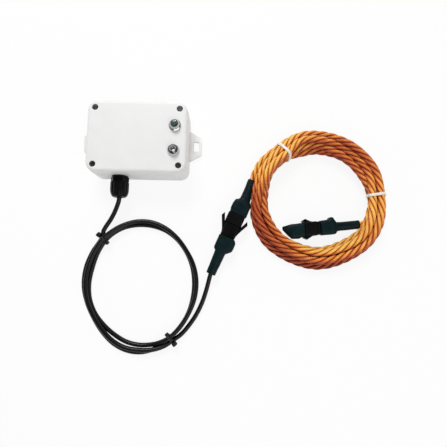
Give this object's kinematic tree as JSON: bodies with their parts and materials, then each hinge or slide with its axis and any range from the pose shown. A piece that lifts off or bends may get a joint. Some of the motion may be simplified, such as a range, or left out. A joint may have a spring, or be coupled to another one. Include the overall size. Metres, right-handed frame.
{
  "type": "water leak sensor",
  "caption": "Battery-powered leak detector box with a push key and status light, a cable gland, a coiled cable and a coiled absorbent sensing rope.",
  "frame": {"origin": "centre of the box's flat back face", "axes": "+X along the box's long side, through both mounting ears; +Y towards the long side away from the cable gland; +Z out of the lid"},
  "size_m": [0.2887, 0.2265, 0.0401],
  "materials": {
    "white_abs": "fine moulded",
    "black_nylon": "fine moulded",
    "black_rubber": "matt",
    "black_pvc": "semi-gloss cable jacket",
    "shrink_sleeve": "satin heat-shrink tube",
    "chrome_plate": "bright plated",
    "steel": "zinc plated",
    "brass": "drawn wire",
    "green_lens": "clear tinted",
    "board_green": "solder mask",
    "rope_orange": "twisted strands",
    "white_nylon": "fine moulded",
    "cell_wrap": "printed film, left bare",
    "red_pvc": "wire jacket"
  },
  "bodies": {
    "sensor": {"antenna": "brass", "base_shell": "white_abs", "battery_cell_1": "cell_wrap", "battery_cell_2": "cell_wrap", "battery_contact_1": "steel", "battery_contact_2": "steel", "battery_contact_3": "steel", "battery_contact_4": "steel", "battery_holder": "black_nylon", "board_screw_1": "steel", "board_screw_2": "steel", "board_screw_3": "steel", "button_body": "chrome_plate", "button_nut": "chrome_plate", "button_spring": "steel", "button_switch": "black_nylon", "cable_coil": "black_pvc", "cable_lead": "black_pvc", "cable_sleeve": "shrink_sleeve", "cable_tail": "black_pvc", "cable_tie_1": "black_nylon", "cable_tie_2": "black_nylon", "circuit_board": "board_green", "coil_tie_1": "white_nylon", "coil_tie_2": "white_nylon", "core_wire_1": "red_pvc", "core_wire_2": "red_pvc", "cover_screw_1": "steel", "cover_screw_2": "steel", "cover_screw_3": "steel", "cover_screw_4": "steel", "end_cap": "shrink_sleeve", "end_plug": "black_nylon", "end_sleeve": "shrink_sleeve", "end_socket": "black_nylon", "gland_body": "black_nylon", "gland_cap": "black_nylon", "gland_insert": "black_rubber", "gland_locknut": "black_nylon", "gland_washer": "black_rubber", "inner_cable": "black_pvc", "led_bezel": "chrome_plate", "led_lens": "green_lens", "led_nut": "chrome_plate", "lid": "white_abs", "lid_gasket": "black_rubber", "plug_housing": "black_nylon", "radio_module": "steel", "rope_coil": "rope_orange", "rope_sleeve": "shrink_sleeve", "socket_housing": "black_nylon", "terminal_block": "board_green"},
    "key": {"button_plunger": "chrome_plate"}
  },
  "joints": [
    {"name": "key_press", "type": "slide", "parent": "sensor", "child": "key", "axis": [0, 0, -1], "range_m": [0, 0.0012], "stiffness_N_per_m": 400, "springref_m": -0.0015, "deforming": ["button_spring"]}
  ]
}
